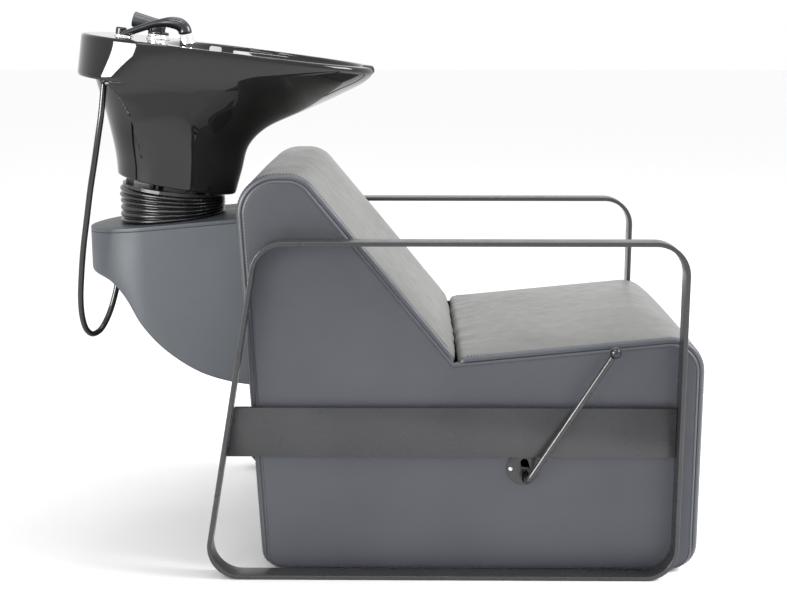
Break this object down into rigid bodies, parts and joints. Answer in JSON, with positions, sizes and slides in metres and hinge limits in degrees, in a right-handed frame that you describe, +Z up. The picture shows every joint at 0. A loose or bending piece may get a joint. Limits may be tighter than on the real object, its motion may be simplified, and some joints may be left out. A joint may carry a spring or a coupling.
{
  "type": "shampoo backwash unit",
  "caption": "Salon backwash unit: padded lounge sliding in flat-bar arm loops, with a tilting ceramic hair-wash basin, mixer tap and hand spray on a rear pedestal housing.",
  "frame": {"origin": "centre of the bounding box in plan, at floor level, without the spray hose", "axes": "+X towards the client's feet, +Y to the seated client's left, +Z up"},
  "size_m": [1.1881, 0.68, 1.0341],
  "materials": {
    "frame_paint": "satin",
    "black_steel": "satin",
    "zinc_steel": "satin",
    "housing": "matte",
    "side_leather": "satin",
    "top_leather": "satin",
    "plywood": "matte",
    "black_ceramic": "gloss",
    "chrome": "polished",
    "black_plastic": "satin",
    "black_rubber": "satin",
    "grey_plastic": "matte"
  },
  "bodies": {
    "stand": {"cross_tube_front": "black_steel", "cross_tube_rear": "black_steel", "spine_frame": "black_steel", "brake_bar": "zinc_steel", "pedestal_frame": "black_steel", "pod_mount_plate": "black_steel", "pod_shell": "housing", "pod_lid": "housing", "hose_gland": "black_rubber", "tilt_yoke_lower": "black_steel", "tilt_pin": "zinc_steel", "bellows": "black_rubber", "waste_trap": "grey_plastic", "waste_hose": "black_rubber", "waste_pipe": "grey_plastic", "spray_hose": "black_rubber", "arm_loop_right": "frame_paint", "arm_loop_left": "frame_paint", "side_band_right": "frame_paint", "side_band_left": "frame_paint", "slide_rail_right": "zinc_steel", "slide_rail_left": "zinc_steel", "supply_valve_right": "chrome", "supply_valve_left": "chrome"},
    "lounge": {"side_panel_right": "side_leather", "side_panel_left": "side_leather", "side_rail_right": "plywood", "side_rail_left": "plywood", "slide_runner_right": "zinc_steel", "slide_runner_left": "zinc_steel", "seat_cushion": "top_leather", "backrest_cushion": "top_leather", "front_panel": "side_leather", "rear_panel": "side_leather", "seat_board": "plywood", "back_board": "plywood", "lever_bracket": "zinc_steel", "lever_spring": "zinc_steel", "lever_escutcheon": "black_steel", "escutcheon_screw_rear": "zinc_steel", "escutcheon_screw_front": "zinc_steel"},
    "release_lever": {"lever_rod": "black_steel", "lever_knob": "black_plastic", "lever_crank": "zinc_steel"},
    "slide_brake": {"brake_shoe": "black_rubber"},
    "basin_assembly": {"basin": "black_ceramic", "tilt_yoke_upper": "black_steel", "waste_flange": "chrome", "waste_tailpiece": "grey_plastic", "mixer_body": "chrome", "spray_guide": "chrome", "hole_cover": "black_plastic", "hose_outlet": "black_rubber"},
    "mixer_head": {"mixer_swivel": "black_plastic"},
    "mixer_handle": {"mixer_lever": "black_plastic"},
    "hand_spray": {"spray_body": "black_plastic", "spray_nozzle": "chrome"},
    "hair_strainer": {"strainer": "chrome"}
  },
  "joints": [
    {"name": "lounge_slide", "type": "slide", "parent": "stand", "child": "lounge", "axis": [1, 0, 0], "range_m": [0, 0.09]},
    {"name": "lever_pull", "type": "hinge", "parent": "lounge", "child": "release_lever", "pos_m": [0.192, -0.26, 0.191], "axis": [0, -1, 0], "range_deg": [0, 21], "stiffness_Nm_per_rad": 2, "springref_deg": -17.19, "deforming": ["lever_spring"]},
    {"name": "brake_release", "type": "slide", "parent": "lounge", "child": "slide_brake", "axis": [0, 0, -1], "range_m": [0, 0.005]},
    {"name": "basin_tilt", "type": "hinge", "parent": "stand", "child": "basin_assembly", "pos_m": [-0.42, 0, 0.66], "axis": [0, 1, 0], "range_deg": [-12, 0], "deforming": ["bellows", "waste_hose", "spray_hose"]},
    {"name": "mixer_turn", "type": "hinge", "parent": "basin_assembly", "child": "mixer_head", "pos_m": [-0.44694, 0.045, 0.9895], "axis": [0.1236, 0, 0.9923], "range_deg": [-45, 45]},
    {"name": "mixer_lift", "type": "hinge", "parent": "mixer_head", "child": "mixer_handle", "pos_m": [-0.44496, 0.045, 1.00537], "axis": [0, 1, 0], "range_deg": [0, 22]},
    {"name": "spray_lift", "type": "slide", "parent": "basin_assembly", "child": "hand_spray", "axis": [0.1236, 0, 0.9923], "range_m": [0, 0.2]},
    {"name": "strainer_lift", "type": "slide", "parent": "basin_assembly", "child": "hair_strainer", "axis": [0.1236, 0, 0.9923], "range_m": [0, 0.15]}
  ],
  "couplings": [
    {"joint": "brake_release", "follows": "lever_pull", "m_per_rad": 0.01364}
  ]
}
